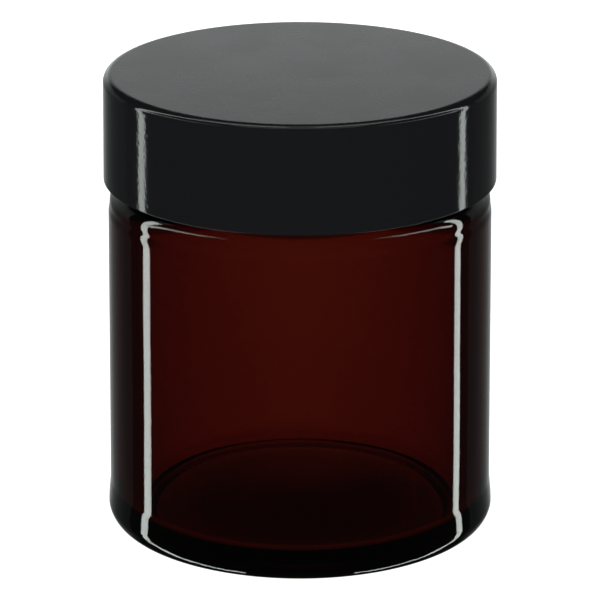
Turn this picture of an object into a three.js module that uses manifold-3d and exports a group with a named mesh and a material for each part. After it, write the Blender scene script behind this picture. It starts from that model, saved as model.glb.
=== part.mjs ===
// A straight-sided cosmetic cream jar of about 60 ml: an amber glass jar with a continuous thread on its
// neck, a smooth black plastic screw cap, and the sealing wad held loose in the cap, which is a foam disc
// with a thin facing film.
//
// Units are millimetres, +Z is up, and the origin is the centre of the base, on the surface that the jar
// stands on. The cap is drawn screwed down. The thread is right-handed, so each turn of the cap
// anticlockwise, seen from above, lifts it by one PITCH.

import * as THREE from "three";
import { mergeVertices } from "three/addons/utils/BufferGeometryUtils.js";
import Module from "manifold-3d";

const wasm = await Module();
wasm.setup();

// Driving dimensions: the whole

const TOTAL_HEIGHT = 60.8;
const PITCH = 4.23; // six threads to the inch

// The glass jar

const BODY_RADIUS = 24.92; // at the top of the wall, which widens a little downwards
const BODY_FOOT_RADIUS = 25.14; // at the bottom of the wall
const HEEL_RADIUS = 25.4; // the heel stands out from the wall and takes the knocks
const PARTING_RADIUS = 24.76; // at the line where the mould's neck ring met its sides
const INSIDE_RADIUS = 21.2;
const NECK_RADIUS = 22.6;
const MOUTH_RADIUS = 19.4;

const HEEL_FILLET = 2.3;
const HEEL_Z = 2.6; // the widest level of the heel
const FLARE_TOP = 5.4;
const FOOT_INNER_RADIUS = 20.6; // the flat ring that the jar stands on runs from here to the heel
const PUSH_UP = 0.9; // height of the hollow under the base

const TAPER_Z = 42.4; // above here the wall leans in to the parting line
const PARTING_Z = 43.2;
const SHOULDER_START_Z = 43.6;
const SHOULDER_CURVE = 3.1; // radius of the rounded shoulder in section
const SHOULDER_END_ANGLE = 68; // how far the shoulder turns, in degrees, before it meets the neck
const NECK_FOOT_RISE = 0.1; // from the shoulder's end to the straight neck
const RIM_FILLET = 0.8;

const FLOOR_Z = 2.9; // the inside floor at its edge
const FLOOR_CROWN = 0.4; // how much higher the inside floor is at its middle
const INSIDE_CORNER = 1.6;
const INSIDE_SHOULDER_Z = 45.8; // the inside of the wall slopes in to the mouth from here
const INSIDE_SHOULDER_RISE = 2.8;
const INSIDE_SHOULDER_FILLET = 1.0;

// The cap

const CAP_RADIUS = 25.5; // at the edge; the side leans in by the draft of its mould
const CAP_TOP_RADIUS = 25.36;
const CAP_HEIGHT = 14.05;
const CAP_TOP_WALL = 1.6;
const CAP_SKIRT_WALL = 1.55;
const CAP_TOP_FILLET = 1.1;
const CAP_EDGE_FILLET = 0.15;
const CAP_LEAD_IN = 0.5; // chamfer at the mouth of the cap
const BEAD_HEIGHT = 0.6; // the bead that keeps the wad in the cap
const BEAD_WIDTH = 1.0;
const BEAD_CREST = 0.3; // width of the bead's flat crest, in the middle of its width
const BEAD_GAP = 0.1; // below the wad

// The wad

const WAD_RADIUS = 23.5;
const FOAM_THICKNESS = 0.88;
const FILM_THICKNESS = 0.16;
const REST_GAP = 0.02; // between the wad and what it touches above and below

// The threads: angles are in degrees, anticlockwise from +X seen from above

const RIDGE_ROOT = 0.6; // how deep a ridge is set into the wall that carries it
const RIDGE_ROUND = 0.2; // chamfer on a ridge's crest
const RUN_OUT = 30; // angle over which a ridge fades at each end
const GLASS_RIDGE = { depth: 1.05, baseWidth: 2.3, crestWidth: 1.0, from: 0, to: 435 };
const CAP_RIDGE = { depth: 1.05, baseWidth: 1.6, crestWidth: 0.8, from: -60, to: 390 };
const GLASS_RIDGE_Z = 50.2; // the middle of the glass ridge at angle 0
const RIDGE_DROP = 1.45; // the cap's ridge pulls on the underside of the glass ridge from this far below

// How finely the curves are divided

const SEGMENTS = 48;
const ARC_STEPS = 2;
const SHOULDER_STEPS = 5;

// Sizes that follow from the driving dimensions

const RIGHT_ANGLE = Math.PI / 2;
const CAP_CEILING = TOTAL_HEIGHT - CAP_TOP_WALL;
const CAP_BORE = CAP_RADIUS - CAP_SKIRT_WALL;
const CAP_EDGE_Z = TOTAL_HEIGHT - CAP_HEIGHT;
const FOAM_TOP = CAP_CEILING - REST_GAP;
const FOAM_BOTTOM = FOAM_TOP - FOAM_THICKNESS;
const FILM_BOTTOM = FOAM_BOTTOM - FILM_THICKNESS;
const RIM_Z = FILM_BOTTOM - REST_GAP;
const BEAD_TOP = FILM_BOTTOM - BEAD_GAP;

// A path through [radius, z, fillet] corners. A corner that has a fillet is rounded by a true arc.
function filletedPath(corners) {
  const path = new THREE.Path();
  const points = corners.map(([radius, z]) => new THREE.Vector2(radius, z));
  path.moveTo(points[0].x, points[0].y);
  for (let i = 1; i < corners.length; i += 1) {
    const fillet = corners[i][2] ?? 0;
    if (fillet > 0 && i < corners.length - 1) {
      addFillet(path, points[i - 1], points[i], points[i + 1], fillet);
    } else {
      path.lineTo(points[i].x, points[i].y);
    }
  }
  return path;
}

function addFillet(path, before, corner, after, fillet) {
  const backward = before.clone().sub(corner).normalize();
  const forward = after.clone().sub(corner).normalize();
  const halfAngle = Math.acos(backward.dot(forward)) / 2;
  const towardCentre = backward.clone().add(forward).normalize();
  const centre = corner.clone().addScaledVector(towardCentre, fillet / Math.sin(halfAngle));
  const start = corner.clone().addScaledVector(backward, fillet / Math.tan(halfAngle));
  const end = corner.clone().addScaledVector(forward, fillet / Math.tan(halfAngle));
  const clockwise = backward.cross(forward) > 0;
  path.lineTo(start.x, start.y);
  path.absarc(centre.x, centre.y, fillet, start.sub(centre).angle(), end.sub(centre).angle(), clockwise);
}

// The solid of revolution about the Z axis of a path that goes round its section anticlockwise.
function turned(corners) {
  const points = filletedPath(corners).getPoints(ARC_STEPS);
  const distinct = points.filter((point, i) => i === 0 || point.distanceTo(points[i - 1]) > 1e-4);
  return new THREE.LatheGeometry(distinct, SEGMENTS).rotateX(RIGHT_ANGLE);
}

function toSolid(geometry) {
  const bare = geometry.clone();
  bare.deleteAttribute("normal");
  bare.deleteAttribute("uv");
  const merged = mergeVertices(bare, 1e-4);
  const mesh = new wasm.Mesh({
    numProp: 3,
    vertProperties: merged.attributes.position.array,
    triVerts: new Uint32Array(merged.index.array),
  });
  return new wasm.Manifold(mesh);
}

function toGeometry(solid) {
  const mesh = solid.getMesh();
  const geometry = new THREE.BufferGeometry();
  geometry.setAttribute("position", new THREE.BufferAttribute(mesh.vertProperties, 3));
  geometry.setIndex(new THREE.BufferAttribute(mesh.triVerts, 1));
  geometry.computeVertexNormals();
  return geometry;
}

function joined(...geometries) {
  const solids = geometries.map(toSolid);
  return toGeometry(solids.reduce((whole, solid) => whole.add(solid)));
}

// The section of a thread ridge: x is the height above the wall, y runs across the ridge. The flanks go on
// below the wall down to the ridge's root.
function ridgeSection({ depth, baseWidth, crestWidth }) {
  const halfWidthAt = (height) => baseWidth / 2 - ((baseWidth - crestWidth) / 2) * (height / depth);
  const rootHalf = halfWidthAt(-RIDGE_ROOT);
  const edgeHalf = halfWidthAt(depth - RIDGE_ROUND);
  const crestHalf = halfWidthAt(depth) - RIDGE_ROUND;
  const section = new THREE.Shape();
  section.moveTo(-RIDGE_ROOT, -rootHalf);
  section.lineTo(depth - RIDGE_ROUND, -edgeHalf);
  section.lineTo(depth, -crestHalf);
  section.lineTo(depth, crestHalf);
  section.lineTo(depth - RIDGE_ROUND, edgeHalf);
  section.lineTo(-RIDGE_ROOT, rootHalf);
  section.closePath();
  return section;
}

// A bar of the ridge's section bent into a helix about the Z axis. side is 1 for a ridge that stands
// outward from a wall, and -1 for one that stands inward. zAtZero is its middle at angle 0.
function threadRidge(ridge, wallRadius, zAtZero, side) {
  const sunkShare = 0.3; // at its very ends the ridge keeps this share of its height, which is all root
  const sweep = ridge.to - ridge.from;
  const steps = Math.round((sweep / 360) * SEGMENTS);
  const bar = new THREE.ExtrudeGeometry(ridgeSection(ridge), { depth: 1, steps, bevelEnabled: false });
  const position = bar.attributes.position;
  for (let i = 0; i < position.count; i += 1) {
    const along = position.getZ(i) * sweep;
    const strength = THREE.MathUtils.clamp(Math.min(along, sweep - along) / RUN_OUT, 0, 1);
    const share = THREE.MathUtils.lerp(sunkShare, 1, strength);
    const height = (position.getX(i) + RIDGE_ROOT) * share - RIDGE_ROOT;
    const radius = wallRadius + side * height;
    const degrees = ridge.from + along;
    const angle = THREE.MathUtils.degToRad(degrees);
    const z = zAtZero + (PITCH * degrees) / 360 - side * position.getY(i);
    position.setXYZ(i, radius * Math.cos(angle), radius * Math.sin(angle), z);
  }
  return bar;
}

// The sub-parts

function roundedShoulder() {
  const points = [];
  for (let i = 0; i <= SHOULDER_STEPS; i += 1) {
    const angle = THREE.MathUtils.degToRad((SHOULDER_END_ANGLE * i) / SHOULDER_STEPS);
    const radius = PARTING_RADIUS - SHOULDER_CURVE * (1 - Math.cos(angle));
    points.push([radius, SHOULDER_START_Z + SHOULDER_CURVE * Math.sin(angle)]);
  }
  return points;
}

function glassJar() {
  const shoulder = roundedShoulder();
  const neckFootZ = shoulder.at(-1)[1] + NECK_FOOT_RISE;
  const outline = [
    [0, PUSH_UP],
    [FOOT_INNER_RADIUS - PUSH_UP, PUSH_UP, PUSH_UP],
    [FOOT_INNER_RADIUS, 0],
    [HEEL_RADIUS, 0, HEEL_FILLET],
    [HEEL_RADIUS, HEEL_Z],
    [BODY_FOOT_RADIUS, FLARE_TOP],
    [BODY_RADIUS, TAPER_Z],
    [PARTING_RADIUS, PARTING_Z],
    ...shoulder,
    [NECK_RADIUS, neckFootZ],
    [NECK_RADIUS, RIM_Z, RIM_FILLET],
    [MOUTH_RADIUS, RIM_Z, RIM_FILLET],
    [MOUTH_RADIUS, INSIDE_SHOULDER_Z + INSIDE_SHOULDER_RISE, INSIDE_SHOULDER_FILLET],
    [INSIDE_RADIUS, INSIDE_SHOULDER_Z, INSIDE_SHOULDER_FILLET],
    [INSIDE_RADIUS, FLOOR_Z, INSIDE_CORNER],
    [0, FLOOR_Z + FLOOR_CROWN],
  ];
  const body = turned(outline);
  const ridge = threadRidge(GLASS_RIDGE, NECK_RADIUS, GLASS_RIDGE_Z, 1);
  return joined(body, ridge);
}

function screwCap() {
  const beadBore = CAP_BORE - BEAD_HEIGHT;
  const beadSlope = (BEAD_WIDTH - BEAD_CREST) / 2;
  const outline = [
    [0, CAP_CEILING],
    [CAP_BORE, CAP_CEILING],
    [CAP_BORE, BEAD_TOP],
    [beadBore, BEAD_TOP - beadSlope],
    [beadBore, BEAD_TOP - beadSlope - BEAD_CREST],
    [CAP_BORE, BEAD_TOP - BEAD_WIDTH],
    [CAP_BORE, CAP_EDGE_Z + CAP_LEAD_IN],
    [CAP_BORE + CAP_LEAD_IN, CAP_EDGE_Z],
    [CAP_RADIUS, CAP_EDGE_Z, CAP_EDGE_FILLET],
    [CAP_TOP_RADIUS, TOTAL_HEIGHT, CAP_TOP_FILLET],
    [0, TOTAL_HEIGHT],
  ];
  const shell = turned(outline);
  const ridge = threadRidge(CAP_RIDGE, CAP_BORE, GLASS_RIDGE_Z - RIDGE_DROP, -1);
  return joined(shell, ridge);
}

function disc(radius, bottom, top) {
  return turned([
    [0, bottom],
    [radius, bottom],
    [radius, top],
    [0, top],
  ]);
}

function named(name, geometry, material) {
  const mesh = new THREE.Mesh(geometry, material);
  mesh.name = name;
  return mesh;
}

const amberGlass = new THREE.MeshStandardMaterial({
  color: 0x4a1404,
  roughness: 0.05,
  metalness: 0,
  transparent: true,
  opacity: 0.85,
});
const blackPlastic = new THREE.MeshStandardMaterial({ color: 0x141416, roughness: 0.2, metalness: 0 });
const whiteFoam = new THREE.MeshStandardMaterial({ color: 0xe6e4dc, roughness: 0.9, metalness: 0 });
const clearFilm = new THREE.MeshStandardMaterial({ color: 0xf2f2ee, roughness: 0.3, metalness: 0 });

const jar = new THREE.Group();
jar.add(named("glass_jar", glassJar(), amberGlass));

const wad = new THREE.Group();
wad.add(named("wad_foam_disc", disc(WAD_RADIUS, FOAM_BOTTOM, FOAM_TOP), whiteFoam));
wad.add(named("wad_facing_film", disc(WAD_RADIUS, FILM_BOTTOM, FOAM_BOTTOM), clearFilm));

const creamJar = new THREE.Group();
creamJar.add(jar, wad, named("screw_cap", screwCap(), blackPlastic));

export default creamJar;
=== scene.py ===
"""An amber glass cream jar with a black screw cap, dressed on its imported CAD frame.

Lengths are millimetres in the outlines and metres once a mesh is built. Outlines are read anticlockwise
round a section through the axis, as (radius, z) corners, so that every face of a turned mesh points out.
"""

from math import atan2, cos, hypot, pi, radians, sin, tan

import bpy
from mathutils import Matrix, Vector, noise


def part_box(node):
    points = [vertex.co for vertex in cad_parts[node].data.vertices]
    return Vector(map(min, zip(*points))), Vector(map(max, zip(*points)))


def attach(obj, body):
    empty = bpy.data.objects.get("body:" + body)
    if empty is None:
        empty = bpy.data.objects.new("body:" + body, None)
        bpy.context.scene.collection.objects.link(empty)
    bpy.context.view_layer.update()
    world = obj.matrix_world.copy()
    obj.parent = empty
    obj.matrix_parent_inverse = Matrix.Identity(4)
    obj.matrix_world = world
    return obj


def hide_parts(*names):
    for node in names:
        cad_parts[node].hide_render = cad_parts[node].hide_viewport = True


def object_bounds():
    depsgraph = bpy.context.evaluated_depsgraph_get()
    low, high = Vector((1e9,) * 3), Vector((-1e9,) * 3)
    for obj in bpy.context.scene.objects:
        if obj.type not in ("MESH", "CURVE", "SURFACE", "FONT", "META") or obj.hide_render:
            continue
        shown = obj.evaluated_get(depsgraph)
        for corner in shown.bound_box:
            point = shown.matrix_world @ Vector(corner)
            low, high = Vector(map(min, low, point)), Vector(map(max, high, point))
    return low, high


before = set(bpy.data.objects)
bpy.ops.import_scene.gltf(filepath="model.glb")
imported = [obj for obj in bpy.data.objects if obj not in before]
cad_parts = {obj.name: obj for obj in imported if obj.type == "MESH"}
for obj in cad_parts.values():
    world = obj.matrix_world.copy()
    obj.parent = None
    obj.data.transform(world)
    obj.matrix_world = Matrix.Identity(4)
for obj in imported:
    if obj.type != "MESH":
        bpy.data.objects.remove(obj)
cad_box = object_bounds()

MM = 0.001

# The glass: sizes that the CAD boxes do not state, in millimetres

BODY_RADIUS = 24.92  # at the top of the wall, which widens a little downwards
BODY_FOOT_RADIUS = 25.14
INSIDE_RADIUS = 21.2
NECK_RADIUS = 22.6
MOUTH_RADIUS = 19.4

FOOT_INNER_RADIUS = 20.6  # the flat ring that the jar stands on runs from here to the heel
FOOT_FILLET = 0.4
PUSH_UP = 0.9  # height of the hollow under the base
PUSH_UP_SLOPE = 1.6  # width of the slope from the foot ring up into the hollow
PUSH_UP_FILLET = 1.5
PUSH_UP_CROWN = 0.25  # how much higher the hollow is at its middle

HEEL_FILLET = 2.3
HEEL_Z = 2.6  # the widest level of the heel
HEEL_BLEND = 1.5
FLARE_TOP = 5.4
FLARE_BLEND = 6
TAPER_DROP = 0.75  # the wall leans in to the parting line from this far below it
TAPER_BLEND = 3

PARTING_Z = 43.2  # where the neck ring of the mould met its sides
PARTING_RADIUS = 24.76
PARTING_STEP = 0.01  # the neck ring's side of the line is this much narrower
PARTING_HALF_HEIGHT = 0.04
SHOULDER_START_Z = 43.6
SHOULDER_CURVE = 3.1  # radius of the rounded shoulder in section
SHOULDER_END = radians(68)  # how far the shoulder turns before it meets the neck
SHOULDER_STEPS = 12
NECK_FOOT_RISE = 0.1  # from the shoulder's end to the straight neck
NECK_FOOT_FILLET = 0.1
RIM_FILLET = 0.85

FLOOR_Z = 2.9  # the inside floor at its edge
FLOOR_CROWN = 0.4  # how much higher the inside floor is at its middle
INSIDE_CORNER = 1.6
INSIDE_SHOULDER_Z = 45.8  # the inside of the wall slopes in to the mouth from here
INSIDE_SHOULDER_TOP = 48.6
INSIDE_SHOULDER_FILLET = 1.0

# The marks of the mould on the glass and its unevenness, in millimetres

SEAM_ANGLES = (0.0, pi)  # where the two halves of the mould met
SEAM_OFFSETS = (-0.9, -0.45, 0, 0.45, 0.9)  # degrees from a seam at which the mesh has an edge
SEAM_CLEARANCE = radians(1.2)  # the even edges keep this far from a seam
SEAM_HEIGHT = 0.03
SEAM_WIDTH = 0.35
HEEL_SEAM_Z = 2.1  # where the bottom plate of the mould met its sides
HEEL_SEAM_WIDTH = 0.25
OUTSIDE_WAVE = 0.012
OUTSIDE_LOW = 0.9  # the heel carries no marks below this level
INSIDE_WAVE = 0.03
INSIDE_WAVE_TOP = 43.0
INSIDE_WAVE_FADE = 4  # height over which the wave starts, above the inside corner
FLOOR_WAVE = 0.06
STIPPLE_HEIGHT = 0.07
STIPPLE_COUNT = 96  # round the foot ring

# The cap, in millimetres

CAP_TOP_WALL = 1.6
CAP_TOP_RADIUS = 25.36
CAP_TOP_FILLET = 1.1
CAP_SKIRT_WALL = 1.55
CAP_EDGE_FILLET = 0.14
CAP_LEAD_IN = 0.5  # chamfer at the mouth of the cap
CAP_LEAD_IN_FILLET = 0.2
CAP_INSIDE_FILLET = 0.15
CAP_WAVE = 0.003
BEAD_DROP = 1.16  # from the ceiling to the bead that keeps the wad in
BEAD_HEIGHT = 0.6
BEAD_WIDTH = 1.0
BEAD_SLOPE = 0.35  # height of each sloping side of the bead
BEAD_FOOT_FILLET = 0.1
BEAD_CREST_FILLET = 0.15

# The wad, in millimetres: the glass rim presses a shallow groove into its film

GROOVE_DEPTH = 0.06
GROOVE_HALF_FLOOR = 0.9
GROOVE_HALF_MOUTH = 1.4
GROOVE_FILLET = 0.3
FILM_EDGE_FILLET = 0.05
FOAM_LOW_FILLET = 0.08
FOAM_HIGH_FILLET = 0.15

# The threads: start and end are degrees, anticlockwise from +X seen from above

PITCH = 4.23
GLASS_THREAD = {"depth": 1.05, "base": 2.3, "crest": 0.7, "start": 0, "end": 435, "z": 50.2}
CAP_THREAD = {"depth": 1.05, "base": 1.6, "crest": 0.5, "start": -60, "end": 390, "z": 48.75}
RUN_OUT = 30  # degrees over which a thread fades at each end

# How finely the meshes are divided

SEGMENTS = 192
ARC_STEP = radians(7)  # turn of the outline between two points of a fillet
STRAIGHT_STEP = 1.0  # longest straight run between two rings
THREAD_STEP = 0.14  # the same where a thread stands on the wall
SUPPORT = 0.12  # a ring this close to the end of a straight run keeps it shaded flat


# Curves

def smooth(t):
    t = min(max(t, 0.0), 1.0)
    return t * t * (3 - 2 * t)


def interpolate(x, table):
    """The value at x between the (x, value) rows of the table, which holds its end values beyond them."""
    if x <= table[0][0]:
        return table[0][1]
    for (x0, y0), (x1, y1) in zip(table, table[1:]):
        if x <= x1:
            return y0 + (y1 - y0) * (x - x0) / (x1 - x0)
    return table[-1][1]


def steps(first, last, count):
    return [first + (last - first) * i / count for i in range(count + 1)]


def turn_between(angle, other):
    """How far apart two angles are, the short way round."""
    return abs((angle - other + pi) % (2 * pi) - pi)


# Outlines

def fillet_points(before, corner, after, radius):
    back = (Vector(before) - Vector(corner)).normalized()
    on = (Vector(after) - Vector(corner)).normalized()
    half = back.angle(on) / 2
    centre = Vector(corner) + (back + on).normalized() * (radius / sin(half))
    start = Vector(corner) + back * (radius / tan(half)) - centre
    end = Vector(corner) + on * (radius / tan(half)) - centre
    sweep = start.angle_signed(end)
    count = max(2, round(abs(sweep) / ARC_STEP))
    first = atan2(start.y, start.x)
    turn = [first - sweep * i / count for i in range(count + 1)]
    return [(centre.x + radius * cos(a), centre.y + radius * sin(a)) for a in turn]


def straight_points(start, end, step):
    """Points strictly between start and end, with a support ring near each."""
    length = hypot(end[0] - start[0], end[1] - start[1])
    if length < 4 * SUPPORT:
        return []
    count = max(1, round((length - 2 * SUPPORT) / step))
    places = [SUPPORT + (length - 2 * SUPPORT) * i / count for i in range(count + 1)]
    return [tuple(s + (e - s) * p / length for s, e in zip(start, end)) for p in places]


def outline(corners, fine=()):
    """Points along (radius, z[, fillet]) corners. fine is a z range where the rings lie closer."""
    chain = [[tuple(corners[0][:2])]]
    for i in range(1, len(corners) - 1):
        radius = corners[i][2] if len(corners[i]) > 2 else 0
        plain = [c[:2] for c in corners[i - 1:i + 2]]
        chain.append(fillet_points(*plain, radius) if radius else [tuple(plain[1])])
    chain.append([tuple(corners[-1][:2])])
    points = list(chain[0])
    for link in chain[1:]:
        start, end = points[-1], link[0]
        middle = (start[1] + end[1]) / 2
        step = THREAD_STEP if fine and fine[0] < middle < fine[1] else STRAIGHT_STEP
        points += straight_points(start, end, step) + link
    return points


# Relief: heights above a turned surface, in millimetres

def thread_height(thread, angle, z):
    """How high the thread stands at this place on the wall: a rounded ridge that climbs one pitch a turn."""
    half_base, half_crest = thread["base"] / 2, thread["crest"] / 2
    degrees = (angle * 180 / pi) % 360 - 360
    best = 0.0
    while degrees <= thread["end"]:
        if degrees >= thread["start"]:
            away = abs(z - thread["z"] - PITCH * degrees / 360)
            side = smooth((half_base - away) / (half_base - half_crest))
            fade = smooth(min(degrees - thread["start"], thread["end"] - degrees) / RUN_OUT)
            best = max(best, thread["depth"] * side * fade)
        degrees += 360
    return best


def ripple(angle, radius, z, wavelength, seed):
    """Slow, seamless unevenness from -1 to 1 round a turned surface."""
    place = Vector((radius * cos(angle), radius * sin(angle), z)) / wavelength
    return noise.noise(place + Vector((seed, 0, 0)))


# Meshes

def turned(name, points, relief=None, seams=()):
    """A closed mesh of revolution through the points, which start and end on the axis.

    relief(angle, radius, z) gives how far a point moves outward and up.
    """
    extra = [a + radians(o) for a in seams for o in SEAM_OFFSETS]
    even = [2 * pi * i / SEGMENTS for i in range(SEGMENTS)]
    clear = [a for a in even if all(turn_between(a, s) > SEAM_CLEARANCE for s in seams)]
    angles = sorted(a % (2 * pi) for a in clear + extra)
    verts, rings = [], []
    for radius, z in points:
        if radius < 1e-6:
            rings.append([len(verts)])
            verts.append((0, 0, z * MM))
            continue
        rings.append(list(range(len(verts), len(verts) + len(angles))))
        for a in angles:
            out, up = relief(a, radius, z) if relief else (0, 0)
            verts.append(((radius + out) * cos(a) * MM, (radius + out) * sin(a) * MM, (z + up) * MM))
    faces = []
    count = len(angles)
    for low, high in zip(rings, rings[1:]):
        for j in range(count):
            k = (j + 1) % count
            if len(low) == 1:
                faces.append((low[0], high[k], high[j]))
            elif len(high) == 1:
                faces.append((low[j], low[k], high[0]))
            else:
                faces.append((low[j], low[k], high[k], high[j]))
    mesh = bpy.data.meshes.new(name)
    mesh.from_pydata(verts, [], faces)
    mesh.shade_smooth()
    piece = bpy.data.objects.new(name, mesh)
    bpy.context.scene.collection.objects.link(piece)
    return piece


def box_mm(node):
    low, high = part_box(node)
    return low / MM, high / MM


def rounded_shoulder():
    points = []
    for turn in steps(0, SHOULDER_END, SHOULDER_STEPS):
        radius = PARTING_RADIUS - SHOULDER_CURVE * (1 - cos(turn))
        points.append((radius, SHOULDER_START_Z + SHOULDER_CURVE * sin(turn)))
    return points


def make_glass():
    high = box_mm("glass_jar")[1]
    heel, rim = high.x, high.z
    shoulder = rounded_shoulder()
    neck_foot = shoulder[-1][1] + NECK_FOOT_RISE
    corners = [
        (0, PUSH_UP + PUSH_UP_CROWN),
        (FOOT_INNER_RADIUS - PUSH_UP_SLOPE, PUSH_UP, PUSH_UP_FILLET),
        (FOOT_INNER_RADIUS, 0, FOOT_FILLET),
        (heel, 0, HEEL_FILLET),
        (heel, HEEL_Z, HEEL_BLEND),
        (BODY_FOOT_RADIUS, FLARE_TOP, FLARE_BLEND),
        (BODY_RADIUS, PARTING_Z - TAPER_DROP, TAPER_BLEND),
        (PARTING_RADIUS + PARTING_STEP, PARTING_Z - PARTING_HALF_HEIGHT),
        (PARTING_RADIUS, PARTING_Z + PARTING_HALF_HEIGHT),
        *shoulder,
        (NECK_RADIUS, neck_foot, NECK_FOOT_FILLET),
        (NECK_RADIUS, rim, RIM_FILLET),
        (MOUTH_RADIUS, rim, RIM_FILLET),
        (MOUTH_RADIUS, INSIDE_SHOULDER_TOP, INSIDE_SHOULDER_FILLET),
        (INSIDE_RADIUS, INSIDE_SHOULDER_Z, INSIDE_SHOULDER_FILLET),
        (INSIDE_RADIUS, FLOOR_Z, INSIDE_CORNER),
        (0, FLOOR_Z + FLOOR_CROWN),
    ]

    def outside(angle, radius, z):
        """The mould's seams stand on a slightly wavy wall, and nothing stands out past the heel."""
        near = min(turn_between(angle, s) for s in SEAM_ANGLES) * radius
        seam = SEAM_HEIGHT * smooth(1 - near / SEAM_WIDTH)
        plate = SEAM_HEIGHT * smooth(1 - abs(z - HEEL_SEAM_Z) / HEEL_SEAM_WIDTH)
        sunk = OUTSIDE_WAVE * (1 + ripple(angle, radius, z * 0.6, wavelength=9, seed=3))
        return min(max(seam, plate) - sunk, heel - radius)

    def relief(angle, radius, z):
        on_neck = abs(radius - NECK_RADIUS) < 0.05 and z > neck_foot + 0.5
        on_outside = radius > INSIDE_RADIUS + 0.5 and OUTSIDE_LOW < z < PARTING_Z - 0.5
        on_inside_wall = abs(radius - INSIDE_RADIUS) < 0.01 and z < INSIDE_WAVE_TOP
        on_inside_floor = radius < INSIDE_RADIUS - INSIDE_CORNER and FLOOR_Z - 0.01 < z < FLOOR_Z + 1.1
        on_foot_ring = z < 0.02 and FOOT_INNER_RADIUS + FOOT_FILLET < radius < heel - HEEL_FILLET - 0.3
        if on_neck:
            return thread_height(GLASS_THREAD, angle, z), 0
        if on_outside:
            return outside(angle, radius, z), 0
        if on_inside_wall:
            fade = smooth((z - FLOOR_Z - INSIDE_CORNER) / INSIDE_WAVE_FADE)
            return INSIDE_WAVE * fade * ripple(angle, radius, z, wavelength=14, seed=11), 0
        if on_inside_floor:
            return 0, FLOOR_WAVE * ripple(angle, radius, z, wavelength=9, seed=5)
        if on_foot_ring:
            return 0, STIPPLE_HEIGHT * smooth(0.5 + 0.5 * cos(angle * STIPPLE_COUNT))
        return 0, 0

    return turned("glass_jar_body", outline(corners, fine=(neck_foot, rim)), relief, SEAM_ANGLES)


def make_cap():
    low, high = box_mm("screw_cap")
    radius, top, edge = high.x, high.z, low.z
    bore, ceiling = radius - CAP_SKIRT_WALL, top - CAP_TOP_WALL
    bead_top, bead_bore = ceiling - BEAD_DROP, bore - BEAD_HEIGHT
    bead_bottom = bead_top - BEAD_WIDTH
    corners = [
        (0, ceiling),
        (bore, ceiling, CAP_INSIDE_FILLET),
        (bore, bead_top, BEAD_FOOT_FILLET),
        (bead_bore, bead_top - BEAD_SLOPE, BEAD_CREST_FILLET),
        (bead_bore, bead_bottom + BEAD_SLOPE, BEAD_CREST_FILLET),
        (bore, bead_bottom, BEAD_FOOT_FILLET),
        (bore, edge + CAP_LEAD_IN, CAP_LEAD_IN_FILLET),
        (bore + CAP_LEAD_IN, edge, CAP_LEAD_IN_FILLET),
        (radius, edge, CAP_EDGE_FILLET),
        (CAP_TOP_RADIUS, top, CAP_TOP_FILLET),
        (0, top),
    ]

    def relief(angle, r, z):
        if abs(r - bore) < 0.05 and edge + 0.6 < z < bead_bottom - 0.1:
            return -thread_height(CAP_THREAD, angle, z), 0
        if r > CAP_TOP_RADIUS - 0.02:
            return CAP_WAVE * (ripple(angle, r, z * 0.5, wavelength=7, seed=21) - 1), 0
        return 0, 0

    return turned("cap_shell", outline(corners, fine=(edge + CAP_LEAD_IN, bead_bottom)), relief)


def make_foam():
    low, high = box_mm("wad_foam_disc")
    radius = high.x
    corners = [
        (0, low.z),
        (radius, low.z, FOAM_LOW_FILLET),
        (radius, high.z, FOAM_HIGH_FILLET),
        (0, high.z),
    ]
    return turned("wad_foam", outline(corners))


def make_film():
    low, high = box_mm("wad_facing_film")
    radius = high.x
    rim_middle = (NECK_RADIUS + MOUTH_RADIUS) / 2
    corners = [
        (0, low.z),
        (rim_middle - GROOVE_HALF_MOUTH, low.z, GROOVE_FILLET),
        (rim_middle - GROOVE_HALF_FLOOR, low.z + GROOVE_DEPTH, GROOVE_FILLET),
        (rim_middle + GROOVE_HALF_FLOOR, low.z + GROOVE_DEPTH, GROOVE_FILLET),
        (rim_middle + GROOVE_HALF_MOUTH, low.z, GROOVE_FILLET),
        (radius, low.z, FILM_EDGE_FILLET),
        (radius, high.z, FILM_EDGE_FILLET),
        (0, high.z),
    ]
    return turned("wad_film", outline(corners))


# Materials

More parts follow.
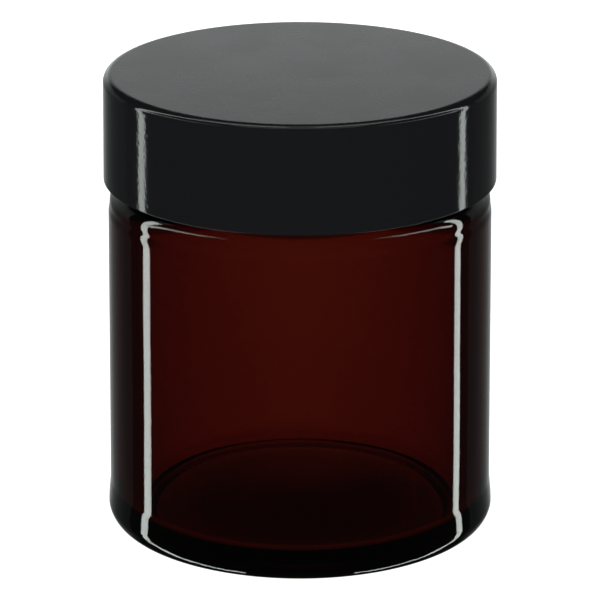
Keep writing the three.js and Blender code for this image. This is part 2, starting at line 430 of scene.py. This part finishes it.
class Nodes:
    """A material's node tree, with short ways to add and join nodes."""

    def __init__(self, name):
        self.material = bpy.data.materials.new(name)
        self.material.use_nodes = True
        self.tree = self.material.node_tree
        self.shader = self.tree.nodes["Principled BSDF"]
        self.output = self.tree.nodes["Material Output"]

    def add(self, kind, **values):
        node = self.tree.nodes.new(kind)
        for key, value in values.items():
            setattr(node, key, value)
        return node

    def join(self, source, target):
        self.tree.links.new(source, target)

    def set(self, **values):
        for key, value in values.items():
            self.shader.inputs[key.replace("_", " ")].default_value = value

    def place(self):
        return self.add("ShaderNodeTexCoord").outputs["Object"]

    def noise(self, size_mm, detail=2.0, stretch=(1, 1, 1)):
        mapping = self.add("ShaderNodeMapping")
        mapping.inputs["Scale"].default_value = stretch
        self.join(self.place(), mapping.inputs["Vector"])
        texture = self.add("ShaderNodeTexNoise")
        texture.inputs["Scale"].default_value = 1 / (size_mm * MM)
        texture.inputs["Detail"].default_value = detail
        self.join(mapping.outputs[0], texture.inputs["Vector"])
        return texture.outputs["Fac"]

    def spread(self, value, low, high, from_low=0.3, from_high=0.7):
        """value stretched to the range low to high. A noise lies mostly between 0.3 and 0.7."""
        node = self.add("ShaderNodeMapRange")
        self.join(value, node.inputs["Value"])
        ends = {"From Min": from_low, "From Max": from_high, "To Min": low, "To Max": high}
        for key, number in ends.items():
            node.inputs[key].default_value = number
        return node.outputs[0]

    def math(self, operation, a, b):
        node = self.add("ShaderNodeMath", operation=operation)
        for socket, value in zip(node.inputs, (a, b)):
            if isinstance(value, (int, float)):
                socket.default_value = value
            else:
                self.join(value, socket)
        return node.outputs[0]

    def tint(self, value, dark, light):
        ramp = self.add("ShaderNodeValToRGB")
        ramp.color_ramp.elements[0].color = (*dark, 1)
        ramp.color_ramp.elements[1].color = (*light, 1)
        self.join(value, ramp.inputs[0])
        self.join(ramp.outputs[0], self.shader.inputs["Base Color"])

    def bump(self, height, depth_mm, before=None):
        node = self.add("ShaderNodeBump")
        node.inputs["Strength"].default_value = 1.0
        node.inputs["Distance"].default_value = depth_mm * MM
        self.join(height, node.inputs["Height"])
        if before:
            self.join(before, node.inputs["Normal"])
        return node.outputs[0]


def glass_material():
    n = Nodes("amber_glass")
    n.set(Base_Color=(1, 1, 1, 1), IOR=1.52, Transmission_Weight=1.0)
    n.join(n.spread(n.noise(6, 3), 0.0, 0.02), n.shader.inputs["Roughness"])
    slow = n.bump(n.noise(11, 1, (1, 1, 0.35)), 0.02)
    n.join(slow, n.shader.inputs["Normal"])
    absorb = n.add("ShaderNodeVolumeAbsorption")
    absorb.inputs["Color"].default_value = (0.536, 0.131, 0.0, 1)
    absorb.inputs["Density"].default_value = 840
    n.join(absorb.outputs[0], n.output.inputs["Volume"])
    return n.material


def cap_material(top_z):
    """A satin top and a glossy, slightly orange-peeled side, told apart by height."""
    n = Nodes("black_plastic")
    n.set(Base_Color=(0.0046, 0.0046, 0.0051, 1), IOR=1.5, Specular_IOR_Level=0.27)
    height = n.add("ShaderNodeSeparateXYZ")
    n.join(n.place(), height.inputs[0])
    on_top = n.spread(height.outputs["Z"], 0, 1, top_z - 0.12 * MM, top_z - 0.02 * MM)
    on_side = n.math("SUBTRACT", 1.0, on_top)
    cloud = n.noise(7, 3)
    side = n.spread(cloud, 0.05, 0.08)
    satin = n.spread(cloud, 0.26, 0.29)
    mix = n.add("ShaderNodeMix", data_type="FLOAT")
    n.join(on_top, mix.inputs[0])
    n.join(side, mix.inputs[2])
    n.join(satin, mix.inputs[3])
    n.join(mix.outputs[0], n.shader.inputs["Roughness"])
    wave = n.bump(n.math("MULTIPLY", n.noise(5, 1, (1, 1, 0.4)), on_side), 0.012)
    peel = n.bump(n.math("MULTIPLY", n.noise(0.5, 2), on_side), 0.01, before=wave)
    grain = n.bump(n.math("MULTIPLY", n.noise(0.9, 2), on_top), 0.0015, before=peel)
    n.join(grain, n.shader.inputs["Normal"])
    return n.material


def foam_material():
    n = Nodes("white_foam")
    n.tint(n.noise(1.5, 4), (0.72, 0.71, 0.66), (0.86, 0.85, 0.81))
    cells = n.add("ShaderNodeTexVoronoi")
    cells.inputs["Scale"].default_value = 1 / (0.22 * MM)
    n.join(n.place(), cells.inputs["Vector"])
    n.join(n.bump(cells.outputs["Distance"], 0.06), n.shader.inputs["Normal"])
    n.join(n.spread(n.noise(2), 0.75, 0.95), n.shader.inputs["Roughness"])
    return n.material


def film_material():
    n = Nodes("facing_film")
    n.tint(n.noise(6, 3), (0.8, 0.8, 0.78), (0.88, 0.88, 0.87))
    n.join(n.spread(n.noise(3, 4), 0.22, 0.4), n.shader.inputs["Roughness"])
    n.join(n.bump(n.noise(2.5, 3), 0.03), n.shader.inputs["Normal"])
    n.set(IOR=1.5)
    return n.material


# Pieces

def dress(piece, material, body, node):
    piece.data.materials.append(material)
    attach(piece, body)
    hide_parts(node)


dress(make_glass(), glass_material(), "jar", "glass_jar")
dress(make_cap(), cap_material(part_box("screw_cap")[1].z), "cap", "screw_cap")
dress(make_foam(), foam_material(), "wad", "wad_foam_disc")
dress(make_film(), film_material(), "wad", "wad_facing_film")


# Stage: a pale floor, softboxes and the camera, in metres. Azimuths and elevations are degrees seen from the
# jar: azimuth 0 is towards the camera and 90 is to its left. A panel glows by a number stored in its mesh.

JAR_MIDDLE = Vector((0, 0, cad_box[1].z / 2))
STRIP_DISTANCE = 0.7
STRIP_SOFTNESS = 0.009  # half of what a strip fades over at each side, as a share of its distance
RAIL_HALF_WIDTH = 0.04  # as a share of its distance
RAIL_SOFTNESS = 0.01
BACKDROP_DISTANCE = 0.9
FILL_DISTANCE = 1.2
FILL_RADIANCE = 6.0
OVERHEAD_HEIGHT = 0.9
OVERHEAD_REACH = 0.4
OVERHEAD_RADIANCE = 0.8
ROOM_RADIANCE = 0.018
FLOOR_REACH = 4.0
PAPER_DEPTH = 0.2  # in millimetres, under the floor
PAPER_BRIGHT_HALF = 24  # half the width of the bright paper beside the jar, in millimetres
PAPER_BRIGHT_SPREAD = 0.42  # how fast that half width grows with the distance behind the jar
PAPER_BRIGHT_FROM = 5  # where it starts to grow, in millimetres

BACKDROP_SIDEWAYS = ((0, 1.0), (6, 1.0), (16, 0.74), (29, 0.29), (40, 0.14), (52, 0.09))
BACKDROP_UPRIGHT = ((-40, 0), (-34, 0.5), (-10, 0.5), (4, 1.5), (13.5, 1.5), (21.5, 0))
RAIL_PATH = ((100.7, 10), (93, 22), (84, 29), (69, 37), (54, 46))  # azimuth and elevation
RAIL_RADIANCE = (5.0, 4.0, 3.2, 2.4, 1.0)
# Painted shadow and shade in the paper's glow: dark round the axis under the jar, and dimmer beside it
PAPER_SHADOW_ROUND_AXIS = ((8, 0.03), (13, 0.06), (19.5, 0.14), (22, 0.35), (24, 0.6), (25.5, 1.0))
PAPER_SHADE_BESIDE_JAR = ((0, 1.0), (8, 0.3))


def glow_material(name, colour):
    material = bpy.data.materials.new(name)
    material.use_nodes = True
    nodes = material.node_tree.nodes
    nodes.remove(nodes["Principled BSDF"])
    stored = nodes.new("ShaderNodeAttribute")
    stored.attribute_name = "glow"
    shine = nodes.new("ShaderNodeEmission")
    shine.inputs["Color"].default_value = (*colour, 1)
    material.node_tree.links.new(stored.outputs["Fac"], shine.inputs["Strength"])
    material.node_tree.links.new(shine.outputs[0], nodes["Material Output"].inputs["Surface"])
    return material


GLOW = glow_material("glow", (0.955, 1.0, 0.995))
STRIP_GLOW = glow_material("strip_glow", (0.93, 1.0, 0.955))


def staged(name, mesh, material):
    mesh.materials.append(material)
    panel = bpy.data.objects.new(name, mesh)
    bpy.context.scene.collection.objects.link(panel)
    return panel


def glow_grid(name, rows, columns, place, radiance, material):
    """A grid of place(row, column) points that shines with radiance(row, column), unseen by the camera."""
    verts = [place(r, c) for r in rows for c in columns]
    wide = len(columns)
    faces = []
    for i in range(len(rows) - 1):
        for j in range(wide - 1):
            k = i * wide + j
            faces.append((k, k + 1, k + wide + 1, k + wide))
    mesh = bpy.data.meshes.new(name)
    mesh.from_pydata(verts, [], faces)
    glow = mesh.attributes.new("glow", "FLOAT", "POINT")
    glow.data.foreach_set("value", [radiance(r, c) for r in rows for c in columns])
    panel = staged(name, mesh, material)
    panel.visible_camera = False
    panel.visible_shadow = False
    return panel


def direction(azimuth, elevation):
    turn, rise = radians(azimuth), radians(elevation)
    return Vector((-sin(turn) * cos(rise), -cos(turn) * cos(rise), sin(rise)))


def wall(name, azimuths, elevations, distance, radiance):
    """An upright round panel."""
    def place(elevation, azimuth):
        rise = Vector((0, 0, tan(radians(elevation))))
        return JAR_MIDDLE + (direction(azimuth, 0) + rise) * distance

    return glow_grid(name, elevations, azimuths, place, radiance, GLOW)


def strip(name, rows, place, half_width, softness, radiance):
    """A narrow panel that shines with radiance(row) and fades out at its two long sides."""
    columns = (-half_width - softness, -half_width + softness, half_width - softness, half_width + softness)
    glow_grid(name, rows, columns, place, lambda r, o: radiance(r) if abs(o) < half_width else 0, STRIP_GLOW)


def arch(name, azimuth, width, radiance):
    """A narrow softbox, width degrees across, that runs from below the jar's foot, up and over it."""
    across = direction(azimuth + 90, 0)

    def place(elevation, offset):
        return JAR_MIDDLE + (direction(azimuth, elevation) + across * offset) * STRIP_DISTANCE

    strip(name, steps(-75, 86, 46), place, tan(radians(width / 2)), STRIP_SOFTNESS, lambda e: radiance)


def rail(name, side):
    """The lit upper edge of a softbox's frame, from beside the jar up and round towards the camera."""
    path = [direction(azimuth * side, elevation) for azimuth, elevation in RAIL_PATH]

    def place(i, offset):
        along = path[min(i + 1, len(path) - 1)] - path[max(i - 1, 0)]
        across = path[i].cross(along).normalized()
        return JAR_MIDDLE + (path[i] + across * offset) * STRIP_DISTANCE

    strip(name, range(len(path)), place, RAIL_HALF_WIDTH, RAIL_SOFTNESS, lambda i: RAIL_RADIANCE[i])


def make_backdrop():
    """Brightest straight behind the jar, fading sideways, upwards and downwards."""
    def radiance(elevation, azimuth):
        return interpolate(abs(azimuth - 180), BACKDROP_SIDEWAYS) * interpolate(elevation, BACKDROP_UPRIGHT)

    wall("backdrop", steps(120, 240, 60), steps(-40, 22, 31), BACKDROP_DISTANCE, radiance)


def make_front_fill():
    """A soft light from the camera's side that no surface mirrors."""
    azimuths, elevations = steps(-24, 24, 6), steps(-5, 45, 4)
    panel = wall("front_fill", azimuths, elevations, FILL_DISTANCE, lambda e, a: FILL_RADIANCE)
    panel.visible_glossy = False
    panel.visible_transmission = False


def make_overhead():
    def place(y, x):
        return (x, y, OVERHEAD_HEIGHT)

    ends = (-OVERHEAD_REACH, OVERHEAD_REACH)
    glow_grid("overhead", ends, ends, place, lambda y, x: OVERHEAD_RADIANCE, GLOW)


def make_floor():
    """A plain pale floor that gloss and glass do not see."""
    material = bpy.data.materials.new("floor")
    material.use_nodes = True
    shader = material.node_tree.nodes["Principled BSDF"]
    shader.inputs["Base Color"].default_value = (0.5, 0.5, 0.5, 1)
    shader.inputs["Roughness"].default_value = 1.0
    shader.inputs["Specular IOR Level"].default_value = 0.0
    shader.inputs["Emission Color"].default_value = (1, 1, 1, 1)
    shader.inputs["Emission Strength"].default_value = 1.0
    ends = (-FLOOR_REACH, FLOOR_REACH)
    mesh = bpy.data.meshes.new("floor")
    mesh.from_pydata([(x, y, 0) for y in ends for x in ends], [], [(0, 1, 3, 2)])
    floor = staged("floor", mesh, material)
    floor.visible_glossy = False
    floor.visible_shadow = False
    floor.visible_transmission = False


def make_paper():
    """The light of the floor that comes through the glass, with a painted shadow under the jar and painted
    shade beside it. Places on it are millimetres from the axis.
    """
    def place(y, x):
        return (x * MM, y * MM, -PAPER_DEPTH * MM)

    def radiance(y, x):
        """Painted shadow and shade: dark where the jar's own shadow falls, dim beside it, and bright behind
        it.
        """
        beyond = abs(x) - PAPER_BRIGHT_HALF - PAPER_BRIGHT_SPREAD * max(y - PAPER_BRIGHT_FROM, 0)
        return interpolate(hypot(x, y), PAPER_SHADOW_ROUND_AXIS) * interpolate(beyond, PAPER_SHADE_BESIDE_JAR)

    rows = [-4000, -1000, -300, -100] + steps(-60, 120, 90) + [130, 150, 200, 300, 600, 1500, 4000]
    far = [140, 200, 300, 600, 1500, 4000]
    columns = [-x for x in reversed(far)] + steps(-100, 100, 100) + far
    paper = glow_grid("paper_glow", rows, columns, place, radiance, GLOW)
    paper.visible_glossy = False
    paper.visible_diffuse = False


def make_room():
    world = bpy.data.worlds.new("studio")
    world.use_nodes = True
    background = world.node_tree.nodes["Background"]
    background.inputs["Color"].default_value = (1, 1, 1, 1)
    background.inputs["Strength"].default_value = ROOM_RADIANCE
    bpy.context.scene.world = world


make_floor()
make_paper()
arch("strip_left", azimuth=103.3, width=6.0, radiance=6.0)
arch("strip_right", azimuth=-107.4, width=5.3, radiance=5.8)
rail("rail_left", side=1)
rail("rail_right", side=-1)
make_backdrop()
make_front_fill()
make_overhead()
make_room()

CAMERA_DISTANCE = 0.5089
CAMERA_HEIGHT = 0.2035
CAMERA_PITCH = 18.86  # degrees below level
LENS = 246.1
SENSOR_WIDTH = 36

camera_data = bpy.data.cameras.new("camera")
camera_data.lens = LENS
camera_data.sensor_width = SENSOR_WIDTH
camera_data.clip_start = 0.01
camera_data.clip_end = 20
camera = bpy.data.objects.new("camera", camera_data)
camera.location = (0, -CAMERA_DISTANCE, CAMERA_HEIGHT)
camera.rotation_euler = (radians(90 - CAMERA_PITCH), 0, 0)
bpy.context.scene.collection.objects.link(camera)
bpy.context.scene.camera = camera
bpy.context.scene.view_settings.view_transform = "Standard"
